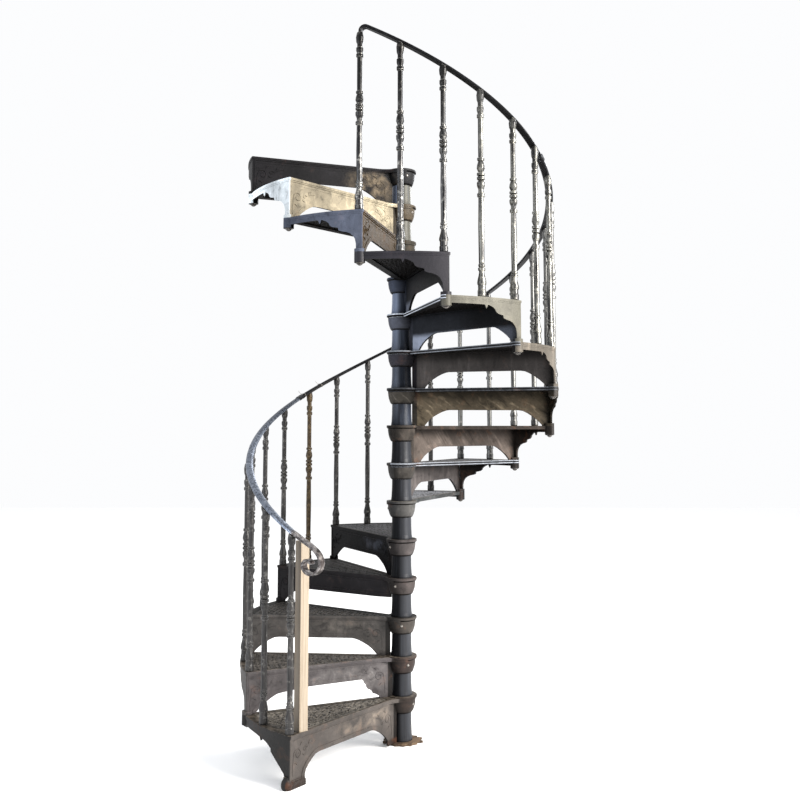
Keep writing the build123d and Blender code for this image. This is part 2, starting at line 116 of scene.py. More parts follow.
class Build:
    """Short hand for one procedural material."""

    def __init__(self, name, metallic, specular=0.5):
        self.m = bpy.data.materials.new(name)
        self.m.use_nodes = True
        self.t = self.m.node_tree
        self.bsdf = self.t.nodes["Principled BSDF"]
        self.bsdf.inputs["Metallic"].default_value = metallic
        self.bsdf.inputs["Specular IOR Level"].default_value = specular
        self.pos = self.t.nodes.new("ShaderNodeTexCoord").outputs["Object"]
        self.geo = self.t.nodes.new("ShaderNodeNewGeometry")

    def link(self, a, b):
        self.t.links.new(a, b)

    def put(self, socket, value):
        if isinstance(value, bpy.types.NodeSocket):
            self.link(value, socket)
        elif isinstance(value, (tuple, list)) and len(value) == 3 and socket.type == "RGBA":
            socket.default_value = (*value, 1)
        else:
            socket.default_value = value

    def math(self, op, a, b=0.0, c=None, clamp=False):
        n = self.t.nodes.new("ShaderNodeMath")
        n.operation = op
        n.use_clamp = clamp
        self.put(n.inputs[0], a)
        self.put(n.inputs[1], b)
        if c is not None:
            self.put(n.inputs[2], c)
        return n.outputs[0]

    def split(self, v):
        n = self.t.nodes.new("ShaderNodeSeparateXYZ")
        self.put(n.inputs[0], v)
        return n.outputs

    def scaled(self, x, y, z, shift=(0, 0, 0)):
        n = self.t.nodes.new("ShaderNodeMapping")
        self.link(self.pos, n.inputs["Vector"])
        n.inputs["Scale"].default_value = (x, y, z)
        n.inputs["Location"].default_value = shift
        return n.outputs[0]

    def slanted(self, across, along, lean):
        """Stretched vertically, the runs leaning by lean across the height."""
        xyz = self.split(self.pos)
        n = self.t.nodes.new("ShaderNodeCombineXYZ")
        shift = self.math("MULTIPLY", xyz[2], lean)
        self.link(self.math("MULTIPLY", self.math("ADD", xyz[0], shift), across), n.inputs[0])
        self.link(self.math("MULTIPLY", self.math("ADD", xyz[1], shift), across), n.inputs[1])
        self.link(self.math("MULTIPLY", xyz[2], along), n.inputs[2])
        return n.outputs[0]

    def noise(self, scale, detail=4.0, rough=0.55, vector=None, distortion=0.0):
        n = self.t.nodes.new("ShaderNodeTexNoise")
        self.link(vector or self.pos, n.inputs["Vector"])
        n.inputs["Scale"].default_value = scale
        n.inputs["Detail"].default_value = detail
        n.inputs["Roughness"].default_value = rough
        n.inputs["Distortion"].default_value = distortion
        return n.outputs[0]

    def step(self, value, low, high, to_low=0.0, to_high=1.0):
        n = self.t.nodes.new("ShaderNodeMapRange")
        n.clamp = True
        n.interpolation_type = "SMOOTHSTEP"
        self.put(n.inputs["Value"], value)
        n.inputs["From Min"].default_value = low
        n.inputs["From Max"].default_value = high
        n.inputs["To Min"].default_value = to_low
        n.inputs["To Max"].default_value = to_high
        return n.outputs["Result"]

    def mix(self, fac, a, b, kind="MIX"):
        n = self.t.nodes.new("ShaderNodeMix")
        n.data_type = "RGBA"
        n.blend_type = kind
        self.put(n.inputs[0], fac)
        self.put(n.inputs[6], a)
        self.put(n.inputs[7], b)
        return n.outputs[2]

    def times(self, colour, factor):
        n = self.t.nodes.new("ShaderNodeVectorMath")
        n.operation = "SCALE"
        self.put(n.inputs[0], colour)
        self.put(n.inputs["Scale"], factor)
        return n.outputs[0]

    def product(self, *factors):
        out = factors[0]
        for f in factors[1:]:
            out = self.math("MULTIPLY", out, f)
        return out

    def painted_crevice_shade(self, reach, deep, shallow=1.0):
        """Painted shade: darker towards deep in corners and under mouldings, read from ambient occlusion."""
        n = self.t.nodes.new("ShaderNodeAmbientOcclusion")
        n.samples = 6
        n.inputs["Distance"].default_value = reach
        return self.step(n.outputs["AO"], 0.30, 0.92, deep, shallow)

    def bump(self, pairs):
        """pairs: (height socket, distance in m, strength)."""
        normal = None
        for height, distance, strength in pairs:
            n = self.t.nodes.new("ShaderNodeBump")
            n.inputs["Distance"].default_value = distance
            n.inputs["Strength"].default_value = strength
            self.put(n.inputs["Height"], height)
            if normal is not None:
                self.link(normal, n.inputs["Normal"])
            normal = n.outputs[0]
        self.link(normal, self.bsdf.inputs["Normal"])

    def done(self, colour, rough):
        self.put(self.bsdf.inputs["Base Color"], colour)
        self.put(self.bsdf.inputs["Roughness"], rough)
        return self.m


# colour of the painted highlights on the nosings and their edges
PAINTED_HIGHLIGHT = lin(176, 182, 192)
RUST = lin(96, 62, 40)
DARK_RUST = lin(50, 34, 26)
DUST = lin(150, 138, 124)


def edge_mask(b, radius, low, high):
    """How near a sharp edge the surface is."""
    n = b.t.nodes.new("ShaderNodeBevel")
    n.samples = 4
    n.inputs["Radius"].default_value = radius
    d = b.t.nodes.new("ShaderNodeVectorMath")
    d.operation = "DOT_PRODUCT"
    b.link(n.outputs[0], d.inputs[0])
    b.link(b.geo.outputs["Normal"], d.inputs[1])
    return b.step(b.math("SUBTRACT", 1.0, d.outputs["Value"]), low, high)


def cast_iron(n, riser, skirt, inside, hub, rust=0.4, edge_wear_and_sheen=0.5, streak=0.5, metallic=0.06, patch=None, foot_rust=0.0, shade_level=None,
              slant=0.0, bright=None, specular=0.22, dust=0.3, mottle=1.0, lines=0.0, rim=1.0, crevice_shade_depth=0.42):
    """Weathered cast iron of one step: colours of its riser, outer skirt, back and collar."""
    b = Build(f"cast_iron_{n:02d}", metallic, specular)
    xyz = b.split(b.pos)
    a = math.radians(ang(n))
    r = b.math("SQRT", b.math("ADD", b.math("MULTIPLY", xyz[0], xyz[0]), b.math("MULTIPLY", xyz[1], xyz[1])))
    u = b.math("ADD", b.math("MULTIPLY", xyz[0], math.cos(a)), b.math("MULTIPLY", xyz[1], math.sin(a)))
    v = b.math("SUBTRACT", b.math("MULTIPLY", xyz[1], math.cos(a)), b.math("MULTIPLY", xyz[0], math.sin(a)))
    h = b.math("SUBTRACT", xyz[2], top(n))
    up = b.split(b.geo.outputs["Normal"])[2]
    broad = b.noise(3.1, 3.0, 0.5)
    middle = b.noise(17.0, 6.0, 0.62, distortion=0.4)
    fine = b.noise(150.0, 5.0, 0.6)
    pits = b.noise(420.0, 3.0, 0.5)
    runs = b.noise(1.0, 5.0, 0.6, b.slanted(26, 4.0, slant), distortion=0.5)
    # which part of the casting; its back gets painted shade towards the top, under the tread, and is darker towards the
    # outer skirt
    level = -0.05 if shade_level is None else shade_level
    top_shade = 0.42 if shade_level is None else 0.05
    back = b.times(inside, b.product(b.step(b.math("ADD", h, b.math("MULTIPLY", middle, 0.02)), level - 0.020, level + 0.016 if shade_level is not None else level + 0.03, 1.0, top_shade),
                                     b.step(r, 0.775, 0.838, 1.0, 0.22)))
    # with a shade level given, the painted shade is sharp and near black, and darker again on the outer part of the
    # back
    if shade_level is not None:
        back = b.times(back, b.step(u, 0.62, 0.36, 0.30, 1.0))
    col = b.mix(b.step(v, 0.0125, 0.0138), back, riser)
    col = b.mix(b.step(r, 0.8435, 0.8470), col, skirt)
    # painted shade on the collar: darker on the -X side for steps 1-8 and 13-15, on the +X side for steps 9-12
    if n <= 8:
        side = b.step(xyz[0], -0.060, 0.035, 0.22, 1.0)
    elif n <= 12:
        side = b.step(xyz[0], 0.045, -0.060, 0.30, 1.0)
    else:
        side = b.step(xyz[0], -0.060, 0.020, 0.25, 1.0)
    col = b.mix(b.step(r, 0.090, 0.084), col, b.times(hub, side))
    # under-lit hollows behind the front edge stay darker
    under = b.step(up, -0.30, -0.7)
    col = b.mix(b.math("MULTIPLY", under, 0.96), col, lin(11, 10, 10))
    behind = b.math("MULTIPLY", b.step(v, 0.0138, 0.0125), b.step(r, 0.8470, 0.8435))
    b.link(b.math("MULTIPLY", specular, b.math("SUBTRACT", 1.0, b.math("MAXIMUM", b.math("MULTIPLY", under, 0.88), b.math("MULTIPLY", behind, 0.70)))),
           b.bsdf.inputs["Specular IOR Level"])
    # painted highlight on the front edge of the nosing: bright lines over a near-black band, as strong as lines
    if lines:
        a2 = math.radians(ang(n + 1))
        v2 = b.math("SUBTRACT", b.math("MULTIPLY", xyz[1], math.cos(a2)), b.math("MULTIPLY", xyz[0], math.sin(a2)))
        on_edge = b.product(b.step(v2, -0.0066, -0.0078), b.step(h, -0.0210, -0.0200), b.step(under, 0.6, 0.3))
        highlight_stripe = b.math("MAXIMUM", b.step(h, -0.0048, -0.0036), b.product(b.step(h, -0.0178, -0.0168), b.step(h, -0.0118, -0.0128)))
        col = b.mix(on_edge, col, b.mix(b.math("MULTIPLY", highlight_stripe, lines), lin(18, 18, 20), PAINTED_HIGHLIGHT))
    if patch is not None:
        (u0, u1, h0, h1), tone, amount = patch
        area_mask = b.math("MULTIPLY", b.math("MULTIPLY", b.step(u, u0 - 0.06, u0 + 0.06), b.step(u, u1 + 0.06, u1 - 0.06)),
                           b.math("MULTIPLY", b.step(h, h0 - 0.02, h0 + 0.02), b.step(h, h1 + 0.02, h1 - 0.02)))
        area_mask = b.math("MULTIPLY", area_mask, b.step(v, 0.0125, 0.0138))
        col = b.mix(b.math("MULTIPLY", b.math("MULTIPLY", area_mask, b.step(middle, 0.36, 0.6)), amount), col, tone)
    # tone: broad stains, runs down the face, mottled skin, pits, painted shade in the corners
    col = b.times(col, b.product(
        b.step(broad, 0.34, 0.68, 1.12, 1.0 - 0.36 * mottle),
        b.step(runs, 0.53, 0.70, 1.0, 1.0 + 1.5 * streak),
        b.step(runs, 0.47, 0.32, 1.0, 1.0 - 0.62 * streak),
        b.step(middle, 0.50, 0.72, 1.0 - 0.10 * mottle, 1.0 + 0.50 * mottle),
        b.step(middle, 0.46, 0.30, 1.0, 1.0 - 0.42 * mottle),
        b.step(pits, 0.40, 0.28, 1.0, 0.55),
        b.step(up, 0.6, 0.9, 1.0, rim),
        b.painted_crevice_shade(0.045, crevice_shade_depth)))
    # rust blooms, more along the lower edges
    bloom = b.math("MULTIPLY", b.step(b.math("ADD", middle, b.math("MULTIPLY", b.noise(6.0, 8.0, 0.7), 0.6)), 0.86, 1.0), rust, clamp=True)
    col = b.mix(bloom, col, b.mix(b.step(fine, 0.4, 0.6), DARK_RUST, RUST))
    if foot_rust:
        low = b.math("MULTIPLY", b.step(xyz[2], 0.050, 0.030), b.step(b.math("ADD", fine, middle), 0.74, 1.04, 0.35, 1.0))
        low = b.math("MULTIPLY", low, b.step(v, 0.006, 0.012))
        col = b.mix(b.math("MULTIPLY", low, foot_rust), col, b.mix(b.step(middle, 0.42, 0.58), lin(30, 19, 14), lin(60, 38, 27)))
    # dust lying on top; worn edges made bright, which is bare metal and also painted highlight on the nosings
    lying = b.math("MULTIPLY", b.step(up, 0.6, 0.92), b.step(b.noise(38.0, 6.0, 0.7), 0.36, 0.66, 0.1, 1.0))
    col = b.mix(b.math("MULTIPLY", lying, dust), col, DUST)
    edge = b.math("MULTIPLY", edge_mask(b, 0.0028, 0.015, 0.16), b.step(b.noise(26.0, 5.0, 0.7), 0.34, 0.56, 0.15, 1.0))
    col = b.mix(b.math("MULTIPLY", edge, edge_wear_and_sheen), col, bright or b.times(col, 2.4))
    rough = b.math("ADD", b.math("MULTIPLY", fine, 0.28), b.math("SUBTRACT", 0.40, b.math("MULTIPLY", edge, 0.14)))
    rough = b.math("ADD", rough, b.math("MULTIPLY", bloom, 0.22), clamp=True)
    b.bump([(middle, 0.004, 0.35), (fine, 0.0012, 0.55), (pits, 0.0004, 0.5)])
    return b.done(col, rough)


def tread_iron(n, tone, dark, dusty):
    """Pierced panel: worn, dusty tops; faces turned downwards painted near black as shade."""
    b = Build(f"tread_iron_{n:02d}", 0.06, 0.25)
    up = b.split(b.geo.outputs["Normal"])[2]
    broad = b.noise(5.0, 4.0, 0.6)
    middle = b.noise(58.0, 5.0, 0.65, distortion=0.9)
    fine = b.noise(210.0, 4.0, 0.6)
    col = b.mix(b.step(middle, 0.43, 0.56), dark, tone)
    col = b.mix(b.step(middle, 0.58, 0.72, 0.0, 0.7), col, tuple(min(c * 1.9 + 0.02, 0.8) for c in tone))
    col = b.times(col, b.product(b.step(broad, 0.38, 0.66, 1.15, 0.62), b.step(fine, 0.48, 0.34, 1.0, 0.6)))
    col = b.mix(b.math("MULTIPLY", b.step(fine, 0.52, 0.70), 0.3 * dusty), col, DUST)
    col = b.mix(b.step(b.noise(11.0, 8.0, 0.7), 0.62, 0.74, 0.0, 0.4), col, DARK_RUST)
    edge = edge_mask(b, 0.0012, 0.02, 0.2)
    col = b.mix(b.math("MULTIPLY", b.math("MULTIPLY", edge, b.step(up, 0.5, 0.9)), 0.35 * dusty), col, b.times(col, 2.2))
    # painted shade: down-facing faces near black
    col = b.mix(b.step(up, 0.45, 0.15), col, lin(10, 9, 9))
    b.link(b.step(up, 0.1, 0.5, 0.03, 0.25), b.bsdf.inputs["Specular IOR Level"])
    rough = b.math("ADD", b.math("MULTIPLY", middle, 0.35), 0.42, clamp=True)
    b.bump([(middle, 0.0026, 0.7), (fine, 0.0006, 0.5)])
    return b.done(col, rough)


def painted_tube(name, tone, light, dark):
    """Column sleeve: slate paint, rubbed in long vertical bands, with painted light and shade by side: dark on one side
    and light on the other, the sides swapping with height, and a painted cream highlight at the head.
    """
    b = Build(name, 0.05, 0.22)
    xyz = b.split(b.pos)
    bands = b.noise(1.0, 4.0, 0.5, b.scaled(34, 34, 0.7))
    fine_bands = b.noise(1.0, 5.0, 0.6, b.scaled(120, 120, 3.0))
    middle = b.noise(22.0, 6.0, 0.6)
    fine = b.noise(190.0, 4.0, 0.6)
    # painted light and shade by side of the column: lower down dark on -X and light on +X, higher up the other way
    # round and brighter above 2 m, at the head lighter on -X
    wander = b.math("ADD", xyz[0], b.math("MULTIPLY", b.math("SUBTRACT", bands, 0.5), 0.03))
    below = b.product(b.step(wander, -0.030, 0.004, 0.22, 0.74), b.step(wander, 0.004, 0.030, 1.0, 1.6))
    above = b.math("MULTIPLY", b.step(wander, 0.000, -0.034, 0.24, 1.5), b.step(xyz[2], 2.00, 2.30, 0.9, 3.0))
    high = b.step(xyz[2], 1.62, 1.90)
    head = b.step(xyz[2], 2.50, 2.60)
    light_side = b.math("ADD", b.math("MULTIPLY", below, b.math("SUBTRACT", 1.0, high)), b.math("MULTIPLY", above, high))
    light_side = b.math("ADD", b.math("MULTIPLY", light_side, b.math("SUBTRACT", 1.0, head)),
                        b.math("MULTIPLY", b.step(wander, -0.030, 0.010, 2.6, 0.85), head))
    b.link(b.step(light_side, 0.2, 0.8, 0.05, 0.22), b.bsdf.inputs["Specular IOR Level"])
    col = b.mix(b.step(bands, 0.36, 0.64), b.mix(0.45, dark, tone), tone)
    # painted highlight: cream on the +X side of the head
    col = b.mix(b.math("MULTIPLY", head, b.step(wander, 0.0, 0.02, 0.0, 0.8)), col, lin(88, 86, 76))
    # painted light and shade scale the colour, with painted shade in the crevices
    col = b.times(col, b.product(light_side, b.painted_crevice_shade(0.05, 0.45)))
    # light bands, stronger on the lit side: rubbed paint and painted sheen
    col = b.mix(b.math("MULTIPLY", b.step(fine_bands, 0.54, 0.74, 0.0, 0.35), light_side), col, light)
    col = b.mix(b.math("MULTIPLY", b.step(b.noise(7.0, 8.0, 0.7), 0.60, 0.72, 0.0, 0.4), light_side), col,
                b.mix(b.step(fine, 0.4, 0.6), DARK_RUST, lin(72, 58, 50)))
    edge = edge_mask(b, 0.002, 0.02, 0.2)
    col = b.mix(b.math("MULTIPLY", edge, 0.4), col, b.times(col, 2.2))
    rough = b.math("ADD", b.math("MULTIPLY", middle, 0.30), 0.28, clamp=True)
    b.bump([(fine_bands, 0.0010, 0.30), (middle, 0.0020, 0.25), (fine, 0.0006, 0.4)])
    return b.done(col, rough)


def turned_metal(name, tone, light, dark, rust, metallic, base_rough, warm=None, groove_shade=0.2, specular=0.4, fade=None):
    """Balusters and rail: dark paint worn to bright metal on the edges of the turnings, the bright edges also standing
    as painted highlights on the rings.
    """
    b = Build(name, metallic, specular)
    broad = b.noise(4.0, 4.0, 0.55)
    middle = b.noise(42.0, 6.0, 0.65)
    fine = b.noise(260.0, 4.0, 0.6)
    runs = b.noise(1.0, 5.0, 0.6, b.scaled(90, 90, 5.0))
    col = b.mix(b.step(runs, 0.36, 0.62), dark, tone)
    col = b.mix(b.step(middle, 0.52, 0.76, 0.0, 0.34), col, light)
    col = b.mix(b.step(broad, 0.44, 0.70, 0.0, 0.45), col, dark)
    if warm is not None:
        xyz = b.split(b.pos)
        (wx, wy), radius, warm_tone, warm_light = warm
        dx = b.math("SUBTRACT", xyz[0], wx)
        dy = b.math("SUBTRACT", xyz[1], wy)
        near = b.step(b.math("SQRT", b.math("ADD", b.math("MULTIPLY", dx, dx), b.math("MULTIPLY", dy, dy))), radius, radius * 0.8)
        col = b.mix(near, col, b.mix(b.step(middle, 0.42, 0.62), warm_tone, warm_light))
    col = b.mix(b.math("MULTIPLY", b.step(b.noise(9.0, 8.0, 0.7), 0.56, 0.68), rust), col, b.mix(b.step(fine, 0.4, 0.6), DARK_RUST, RUST))
    if fade is not None:
        col = b.times(col, b.step(b.split(b.pos)[2], *fade))
    # painted shade in the grooves of the turnings
    col = b.times(col, b.painted_crevice_shade(0.012, groove_shade))
    # bright edges: worn metal and painted highlight
    edge = b.math("MULTIPLY", edge_mask(b, 0.0018, 0.01, 0.14), b.step(b.noise(60.0, 4.0, 0.6), 0.36, 0.54, 0.6, 1.0))
    col = b.mix(b.math("MULTIPLY", edge, 0.85), col, light)
    rough = b.math("ADD", b.math("MULTIPLY", middle, 0.26), b.math("SUBTRACT", base_rough, b.math("MULTIPLY", edge, 0.10)), clamp=True)
    b.bump([(middle, 0.0016, 0.30), (fine, 0.0005, 0.45)])
    return b.done(col, rough)


def pine():
    b = Build("pine", 0.0, 0.3)
    a = math.radians(ang(1) - 11)
    grain = b.noise(1.0, 6.0, 0.6, b.scaled(95, 95, 2.2), distortion=1.2)
    rings = b.noise(1.0, 2.0, 0.5, b.scaled(38, 38, 0.9), distortion=0.6)
    fine = b.noise(1.0, 4.0, 0.7, b.scaled(600, 600, 18))
    blotch = b.noise(7.0, 6.0, 0.6)
    normal = b.t.nodes.new("ShaderNodeVectorMath")
    normal.operation = "DOT_PRODUCT"
    b.link(b.geo.outputs["Normal"], normal.inputs[0])
    normal.inputs[1].default_value = (math.cos(a), math.sin(a), 0)
    col = b.mix(b.step(grain, 0.38, 0.66), lin(147, 136, 121), lin(128, 115, 99))
    col = b.mix(b.step(rings, 0.50, 0.62, 0.0, 0.5), col, lin(114, 99, 83))
    col = b.mix(b.step(fine, 0.48, 0.66, 0.0, 0.35), col, lin(159, 150, 136))
    col = b.mix(b.step(blotch, 0.52, 0.72, 0.0, 0.45), col, lin(111, 99, 87))
    # the face turned outwards is greyer and darker: weathered grey and painted shade on that side
    col = b.mix(b.math("MULTIPLY", b.step(normal.outputs["Value"], 0.5, 0.9), b.step(grain, 0.2, 0.7, 0.75, 0.45)), col, lin(80, 74, 68))
    rough = b.math("ADD", b.math("MULTIPLY", grain, 0.25), 0.55, clamp=True)
    b.bump([(grain, 0.0010, 0.35), (fine, 0.0004, 0.4)])
    return b.done(col, rough)


def rusted_plate():
    b = Build("rusted_plate", 0.1, 0.3)
    broad = b.noise(18.0, 6.0, 0.7)
    middle = b.noise(70.0, 6.0, 0.7, distortion=0.6)
    fine = b.noise(260.0, 4.0, 0.6)
    col = b.mix(b.step(broad, 0.38, 0.62), lin(56, 43, 34), lin(100, 82, 64))
    col = b.mix(b.step(middle, 0.52, 0.68, 0.0, 0.7), col, lin(128, 108, 86))
    col = b.mix(b.step(fine, 0.50, 0.36, 0.0, 0.85), col, lin(34, 23, 17))
    rough = b.math("ADD", b.math("MULTIPLY", fine, 0.2), 0.72, clamp=True)
    b.bump([(middle, 0.0030, 0.6), (fine, 0.0010, 0.6)])
    return b.done(col, rough)


STEP_LOOK = {
    # riser, skirt, inside, hub (display values), options; the colours are matched to how each face looks, so besides
    # the iron's own colour they hold painted light and shade: skirt 14, in light, near white, riser 5, in shade, near
    # black
    1: ((70, 65, 62), (19, 18, 18), (30, 28, 27), (32, 24, 20), dict(rust=0.18, edge_wear_and_sheen=0.4, streak=0.14, foot_rust=1.0, mottle=0.8, crevice_shade_depth=0.55,
        patch=((0.14, 0.50, -0.085, -0.03), lin(132, 120, 108), 0.4))),
    2: ((76, 72, 73), (60, 57, 56), (30, 28, 27), (41, 32, 29), dict(rust=0.25, edge_wear_and_sheen=0.35, streak=0.2,
        patch=((0.12, 0.50, -0.20, -0.03), lin(116, 113, 112), 0.4))),
    3: ((65, 62, 60), (40, 38, 38), (26, 25, 25), (61, 56, 52), dict(rust=0.2, edge_wear_and_sheen=0.2, streak=0.2, dust=0.02, rim=0.3,
        patch=((0.22, 0.46, -0.085, -0.02), lin(104, 98, 92), 0.4))),
    4: ((27, 25, 27), (24, 23, 24), (24, 23, 25), (74, 68, 67), dict(rust=0.1, edge_wear_and_sheen=0.2, streak=0.15, dust=0.08, specular=0.12)),
    5: ((9, 9, 11), (20, 19, 21), (24, 23, 25), (77, 73, 73), dict(rust=0.05, edge_wear_and_sheen=0.15, streak=0.12, dust=0.12, specular=0.05,
        patch=((0.18, 0.44, -0.085, -0.03), lin(70, 74, 84), 0.4))),
    6: ((36, 34, 34), (26, 25, 25), (104, 107, 109), (80, 79, 78), dict(rust=0.2, edge_wear_and_sheen=0.3, streak=0.2)),
    7: ((44, 41, 39), (36, 34, 33), (82, 77, 76), (64, 61, 58), dict(rust=0.2, edge_wear_and_sheen=0.45, streak=0.35, bright=PAINTED_HIGHLIGHT, lines=0.5)),
    8: ((48, 43, 39), (38, 34, 32), (85, 77, 72), (64, 59, 55), dict(rust=0.35, edge_wear_and_sheen=0.4, streak=0.5, slant=0.5)),
    9: ((46, 42, 37), (44, 40, 37), (79, 71, 59), (69, 65, 60), dict(rust=0.25, edge_wear_and_sheen=0.35, streak=0.85, slant=0.9, lines=0.12)),
    10: ((44, 42, 41), (79, 74, 67), (57, 54, 53), (46, 45, 51), dict(rust=0.12, edge_wear_and_sheen=0.35, streak=0.3, mottle=0.7, lines=0.35)),
    11: ((40, 40, 43), (79, 77, 69), (126, 133, 149), (72, 75, 85), dict(rust=0.06, edge_wear_and_sheen=0.4, streak=0.12, shade_level=-0.112, lines=1.0,
        mottle=0.6)),
    12: ((26, 25, 26), (29, 28, 34), (84, 88, 99), (50, 55, 67), dict(rust=0.05, edge_wear_and_sheen=0.3, streak=0.1, shade_level=-0.140, mottle=0.6)),
    13: ((52, 41, 26), (74, 79, 92), (32, 31, 32), (59, 56, 50), dict(rust=0.15, edge_wear_and_sheen=0.3, streak=0.15, mottle=0.8, specular=0.05,
        crevice_shade_depth=0.75)),
    14: ((151, 141, 120), (222, 230, 235), (34, 33, 33), (77, 67, 53), dict(rust=0.25, edge_wear_and_sheen=0.25, streak=0.3, mottle=1.2, crevice_shade_depth=0.82)),
    15: ((21, 20, 23), (30, 29, 30), (32, 31, 33), (38, 38, 40), dict(rust=0.1, edge_wear_and_sheen=0.2, streak=0.1, specular=0.11, crevice_shade_depth=0.75,
        patch=((0.08, 0.30, -0.24, -0.03), lin(92, 82, 68), 0.95))),
}


def give(ob, mt):
    if not ob.data.materials:
        ob.data.materials.append(mt)
    for i in range(len(ob.data.materials)):
        ob.data.materials[i] = mt


CAST = {}
for n in range(1, STEPS + 1):
    riser_c, skirt_c, inside_c, hub_c, extra = STEP_LOOK[n]
    CAST[n] = cast_iron(n, lin(*riser_c), lin(*skirt_c), lin(*inside_c), lin(*hub_c), **extra)
    give(NODES[f"step_{n:02d}"], CAST[n])

sleeve_low = painted_tube("column_paint_lower", lin(37, 39, 44), lin(66, 70, 78), lin(20, 20, 24))
sleeve_up = painted_tube("column_paint_upper", lin(48, 54, 66), lin(92, 102, 120), lin(20, 22, 27))
give(NODES["column_sleeves_lower"], sleeve_low)
give(NODES["column_sleeves_upper"], sleeve_up)
give(NODES["centre_pole"], sleeve_low)
give(NODES["pole_cap"], sleeve_up)

a4 = math.radians(ang(4) - 0.53 * TURN)
bronze = ((0.829 * math.cos(a4), 0.829 * math.sin(a4)), 0.05, lin(54, 43, 28), lin(86, 71, 48))
# baluster groups toned separately as painted light and shade on one iron: the back and right groups, in light, lighter
# and more metallic; the left and head groups darker
bal_low = turned_metal("baluster_iron_lower", lin(52, 51, 51), lin(176, 174, 170), lin(28, 27, 28), 0.06, 0.35, 0.3, groove_shade=0.1)
bal_mid = turned_metal("baluster_iron_left", lin(58, 57, 56), lin(184, 182, 174), lin(25, 24, 25), 0.06, 0.35, 0.3, bronze, groove_shade=0.1)
bal_back = turned_metal("baluster_iron_back", lin(122, 122, 120), lin(226, 224, 216), lin(54, 54, 56), 0.05, 0.75, 0.26)
bal_right = turned_metal("baluster_iron_right", lin(112, 112, 108), lin(240, 236, 222), lin(34, 34, 36), 0.05, 0.8, 0.2, groove_shade=0.08, fade=(2.60, 3.20, 1.35, 0.75))
bal_head = turned_metal("baluster_iron_head", lin(64, 64, 64), lin(222, 220, 212), lin(20, 20, 22), 0.05, 0.7, 0.2, groove_shade=0.08, fade=(2.90, 3.35, 1.7, 0.30))
give(NODES["balusters_01_03"], bal_low)
give(NODES["balusters_04_06"], bal_mid)
give(NODES["balusters_07_09"], bal_back)
give(NODES["balusters_10_11"], bal_right)
give(NODES["balusters_12_13"], bal_head)

scroll_at = ((-0.423, -0.711), 0.13, lin(64, 58, 57), lin(128, 122, 120))
# rail pieces toned separately as painted light and shade on one iron rail: the lower sweep lit silvery-blue, the head
# near black
rail_slate = turned_metal("handrail_slate", lin(22, 21, 22), lin(62, 64, 70), lin(11, 11, 12), 0.04, 0.06, 0.28, specular=0.07)
rail_foot = turned_metal("handrail_scroll", lin(120, 128, 142), lin(214, 220, 228), lin(66, 72, 84), 0.12, 0.8, 0.22, scroll_at, fade=(1.52, 1.80, 1.0, 0.42))
rail_black = turned_metal("handrail_black", lin(22, 22, 25), lin(118, 122, 128), lin(10, 10, 12), 0.04, 0.4, 0.22, specular=0.2)
rail_head = turned_metal("handrail_head", lin(9, 9, 10), lin(56, 58, 62), lin(5, 5, 6), 0.02, 0.08, 0.26, specular=0.07)
give(NODES["handrail_foot"], rail_foot)
give(NODES["handrail_left"], rail_slate)
give(NODES["handrail_back"], rail_black)
give(NODES["handrail_head"], rail_head)
give(NODES["timber_post"], pine())
give(NODES["floor_plate"], rusted_plate())


# ---------------------------------------------------------------- pierced tread panels
def polar(r, a):
    return (r * math.cos(a), r * math.sin(a))


def panel_outline():
    front, rim, hub, back = RIM_V - GAP, RIM_R - GAP, RIM_HUB + GAP, RIM_BACK + GAP
    turn = math.radians(TURN)
    a0, a1 = math.asin(front / rim), -turn + math.asin(back / rim)
    b0, b1 = math.asin(front / hub), -turn + math.asin(back / hub)
    pts = [polar(rim, a0 + (a1 - a0) * i / 20) for i in range(21)]
    pts += [polar(hub, b1 + (b0 - b1) * i / 6) for i in range(7)]
    return pts


def leaf(cx, cy, direction, length, width, count=10):
    """Pointed leaf-shaped hole."""
    pts = []
    for i in range(count):
        t = 2 * math.pi * i / count
        x = 0.5 * length * math.cos(t)
        y = 0.5 * width * math.sin(t) * (1.0 - 0.35 * math.cos(t))
        pts.append((cx + x * math.cos(direction) - y * math.sin(direction), cy + x * math.sin(direction) + y * math.cos(direction)))
    return pts


def piercings():
    """Rows of four-leaf rosettes with small eyes between them; also the places of the raised buds."""
    turn = math.radians(TURN)
    holes, buds = [], []
    rows = 14
    lo, hi = RIM_HUB + 0.010, RIM_R - 0.010
    step = (hi - lo) / rows
    for row in range(rows):
        r = lo + (row + 0.5) * step
        a0 = math.asin((RIM_V - 0.008) / r)
        a1 = -turn + math.asin(min((RIM_BACK + 0.008) / r, 0.99))
        width = r * (a0 - a1)
        if width < 0.022:
            continue
        k = max(1, round(width / 0.052))
        cell = width / k
        scale = min(cell / 0.052, 1.0)
        for i in range(k):
            a = a0 - (a0 - a1) * (i + 0.5) / k
            cx, cy = polar(r, a)
            for q in range(4):
                d = a + math.radians(45 + 90 * q)
                reach = 0.0160 * scale
                holes.append(leaf(cx + reach * math.cos(d), cy + reach * math.sin(d), d, 0.0215 * scale, 0.0145 * scale))
            for q in range(4):
                d = a + math.radians(90 * q)
                x, y = cx + 0.0150 * scale * math.cos(d), cy + 0.0150 * scale * math.sin(d)
                buds.append((x, y, 0.0036 * scale, d))
            buds.append((cx, cy, 0.0044 * scale, a))
        for i in range(1, k):
            a = a0 - (a0 - a1) * i / k
            for side in (-1, 1):
                x, y = polar(r + side * 0.0090 * scale, a)
                holes.append(leaf(x, y, a, 0.0130 * scale, 0.0070 * scale, 8))
    return holes, buds


HOLES, BUDS = piercings()


